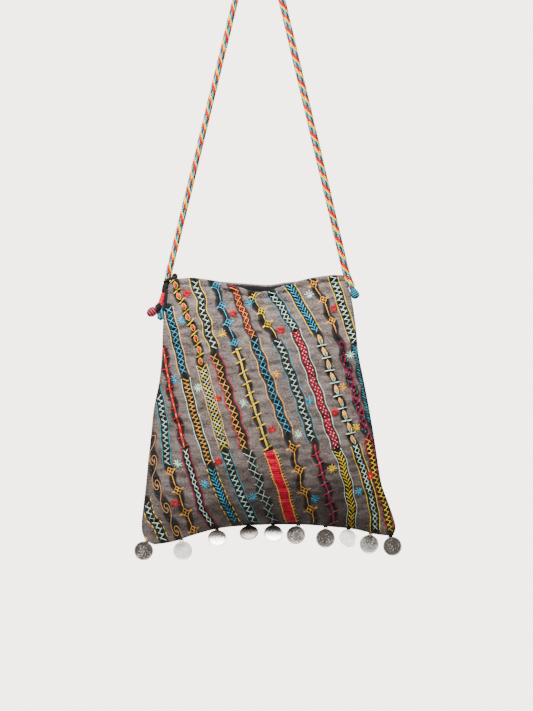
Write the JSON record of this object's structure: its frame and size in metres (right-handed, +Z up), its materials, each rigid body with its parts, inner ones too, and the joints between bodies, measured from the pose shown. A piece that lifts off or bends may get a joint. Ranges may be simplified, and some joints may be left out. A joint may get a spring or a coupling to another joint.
{
  "type": "embroidered cotton shoulder bag",
  "caption": "Slack grey cotton pouch with embroidered diagonal stripes, coins tied along the hem and a long braided cord strap; hangs from the shoulder or a peg.",
  "frame": {"origin": "underside of the strap's top bend, where the strap hangs over a peg", "axes": "+Z up along the hanging line, +X to the right of the front, -Y out of the embroidered front"},
  "size_m": [0.2933, 0.0567, 0.6735],
  "materials": {
    "panel_cotton": "matt woven cotton with dark dyed stripes",
    "lining_cotton": "matt woven cotton",
    "patch_cotton": "matt woven cotton",
    "coin_metal": "worn silver-coloured coin metal with dark tarnish",
    "strap_yarn": "braided yarn in red, yellow and teal",
    "black_thread": "wound thread with a slight sheen",
    "red_thread": "wound thread",
    "dark_red_thread": "wound thread",
    "teal_thread": "wound thread",
    "stitch_thread": "embroidery thread in many colours, slightly glossy"
  },
  "bodies": {
    "root": {"front_panel": "panel_cotton", "back_panel": "panel_cotton", "lining": "lining_cotton", "red_patch": "patch_cotton", "coin_01": "coin_metal", "coin_02": "coin_metal", "coin_03": "coin_metal", "coin_04": "coin_metal", "coin_05": "coin_metal", "coin_06": "coin_metal", "coin_07": "coin_metal", "coin_08": "coin_metal", "coin_09": "coin_metal", "coin_10": "coin_metal", "coin_tie_01": "black_thread", "coin_tie_02": "black_thread", "coin_tie_03": "black_thread", "coin_tie_04": "black_thread", "coin_tie_05": "black_thread", "coin_tie_06": "black_thread", "coin_tie_07": "black_thread", "coin_tie_08": "black_thread", "coin_tie_09": "black_thread", "coin_tie_10": "black_thread", "strap_cord": "strap_yarn", "strap_whipping": "black_thread", "strap_corner_loop": "black_thread", "strap_tail": "red_thread", "strap_tail_band": "black_thread", "strap_knob_left": "dark_red_thread", "strap_stub_left": "teal_thread", "strap_knob_right": "teal_thread"}
  },
  "joints": []
}
